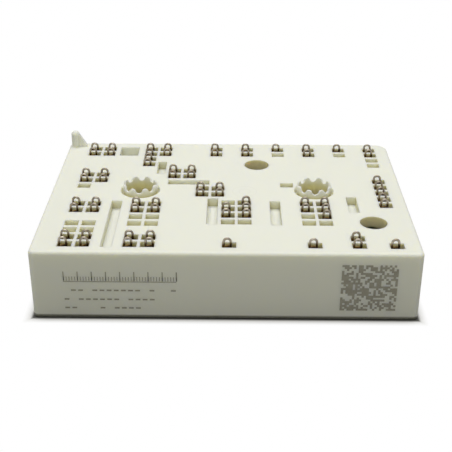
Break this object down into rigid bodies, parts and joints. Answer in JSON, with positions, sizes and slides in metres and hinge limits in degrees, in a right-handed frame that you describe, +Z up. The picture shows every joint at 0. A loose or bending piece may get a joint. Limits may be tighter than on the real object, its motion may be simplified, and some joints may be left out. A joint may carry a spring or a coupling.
{
  "type": "igbt power module",
  "caption": "Flat moulded power module with spring contacts in rectangular shafts, toothed collars round its screw holes and a ceramic substrate as its base.",
  "frame": {"origin": "middle of the base, on the face that meets the heat sink", "axes": "+X along the long side, -Y out of the marked long face, +Z up out of the contact face"},
  "size_m": [0.082, 0.059, 0.02],
  "materials": {
    "housing_plastic": "moulded, fine matt grain, ivory",
    "contact_wire": "silver-plated spring wire, slightly tarnished",
    "copper": "bare bonded copper",
    "ceramic": "fired alumina",
    "silicon": "metallised silicon chip",
    "sensor_body": "glazed thermistor",
    "bond_wire": "drawn aluminium wire"
  },
  "bodies": {
    "root": {"housing": "housing_plastic", "base_copper": "copper", "ceramic_plate": "ceramic", "track_input_1": "copper", "track_input_2": "copper", "track_input_3": "copper", "track_rectifier_plus": "copper", "track_rectifier_minus": "copper", "track_brake": "copper", "track_dc_plus": "copper", "track_dc_minus": "copper", "track_phase_u": "copper", "track_phase_v": "copper", "track_phase_w": "copper", "control_pads": "copper", "rectifier_diodes": "silicon", "igbt_chips": "silicon", "freewheel_diodes": "silicon", "temperature_sensor": "sensor_body", "power_bond_wires": "bond_wire", "gate_bond_wires": "bond_wire", "contacts_input_1": "contact_wire", "contacts_input_2": "contact_wire", "contacts_input_3": "contact_wire", "contacts_rectifier_plus": "contact_wire", "contacts_rectifier_minus": "contact_wire", "contacts_brake": "contact_wire", "contacts_brake_gate": "contact_wire", "contacts_brake_minus": "contact_wire", "contacts_dc_plus": "contact_wire", "contacts_dc_minus": "contact_wire", "contacts_phase_u": "contact_wire", "contacts_phase_v": "contact_wire", "contacts_phase_w": "contact_wire", "contacts_gates_high": "contact_wire", "contacts_gates_low": "contact_wire", "contacts_sensor": "contact_wire"}
  },
  "joints": []
}
